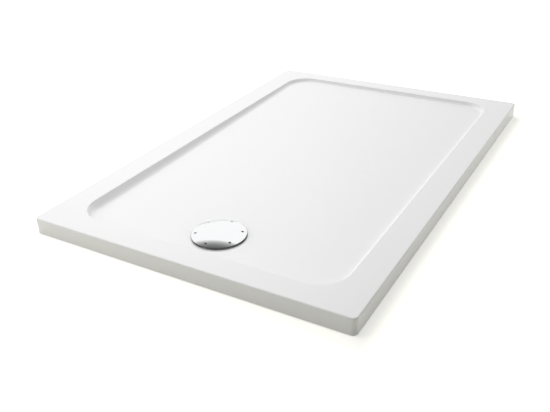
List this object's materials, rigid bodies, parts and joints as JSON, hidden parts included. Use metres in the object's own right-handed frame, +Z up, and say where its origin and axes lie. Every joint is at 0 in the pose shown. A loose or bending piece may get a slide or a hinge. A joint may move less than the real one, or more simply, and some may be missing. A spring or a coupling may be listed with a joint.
{
  "type": "shower tray",
  "caption": "Low rectangular shower tray: acrylic-capped stone-resin slab with a shallow recess that falls to a domed round waste with a removable trap insert.",
  "frame": {"origin": "centre of the tray's underside, which lies on the bed", "axes": "+Y along the tray away from the waste end, +X across the tray, +Z up out of the recess"},
  "size_m": [0.8, 1.2, 0.1595],
  "materials": {
    "white_acrylic": "gloss",
    "cast_stone_resin": "cast, matt",
    "cover_chrome": "polished",
    "grey_plastic": "moulded",
    "flange_white_plastic": "moulded gloss",
    "stainless_steel": "turned",
    "bush_brass": "turned",
    "seal_rubber": "moulded",
    "trap_white_plastic": "moulded",
    "slip_ring_nylon": "moulded"
  },
  "bodies": {
    "tray": {"tray_skin": "white_acrylic", "tray_core": "cast_stone_resin", "waste_flange": "flange_white_plastic", "flange_screws": "stainless_steel", "screw_bushes": "bush_brass", "flange_seal": "seal_rubber", "body_seal": "seal_rubber", "trap_body": "trap_white_plastic", "trap_cup": "trap_white_plastic"},
    "cover": {"waste_cover": "cover_chrome", "cover_carrier": "grey_plastic"},
    "strainer": {"hair_strainer": "grey_plastic"},
    "trap_insert": {"dip_tube": "trap_white_plastic", "ring_seal": "seal_rubber"},
    "outlet_fittings": {"slip_ring": "slip_ring_nylon", "cone_seal": "seal_rubber"},
    "nut": {"outlet_nut": "trap_white_plastic"}
  },
  "joints": [
    {"name": "cover_lift", "type": "slide", "parent": "tray", "child": "cover", "axis": [0, 0, 1], "range_m": [0, 0.19]},
    {"name": "strainer_lift", "type": "slide", "parent": "tray", "child": "strainer", "axis": [0, 0, 1], "range_m": [0, 0.165]},
    {"name": "dip_tube_lift", "type": "slide", "parent": "tray", "child": "trap_insert", "axis": [0, 0, 1], "range_m": [0, 0.125]},
    {"name": "fittings_slide", "type": "slide", "parent": "tray", "child": "outlet_fittings", "axis": [0, 1, 0], "range_m": [0, 0.014]},
    {"name": "outlet_nut_turn", "type": "hinge", "parent": "outlet_fittings", "child": "nut", "pos_m": [0, -0.44, -0.038], "axis": [0, 1, 0], "range_deg": [0, 1260]}
  ],
  "couplings": [
    {"joint": "strainer_lift", "follows": "cover_lift", "ratio": 0.868},
    {"joint": "dip_tube_lift", "follows": "cover_lift", "ratio": 0.657},
    {"joint": "fittings_slide", "follows": "outlet_nut_turn", "m_per_rad": 0.0006366}
  ]
}
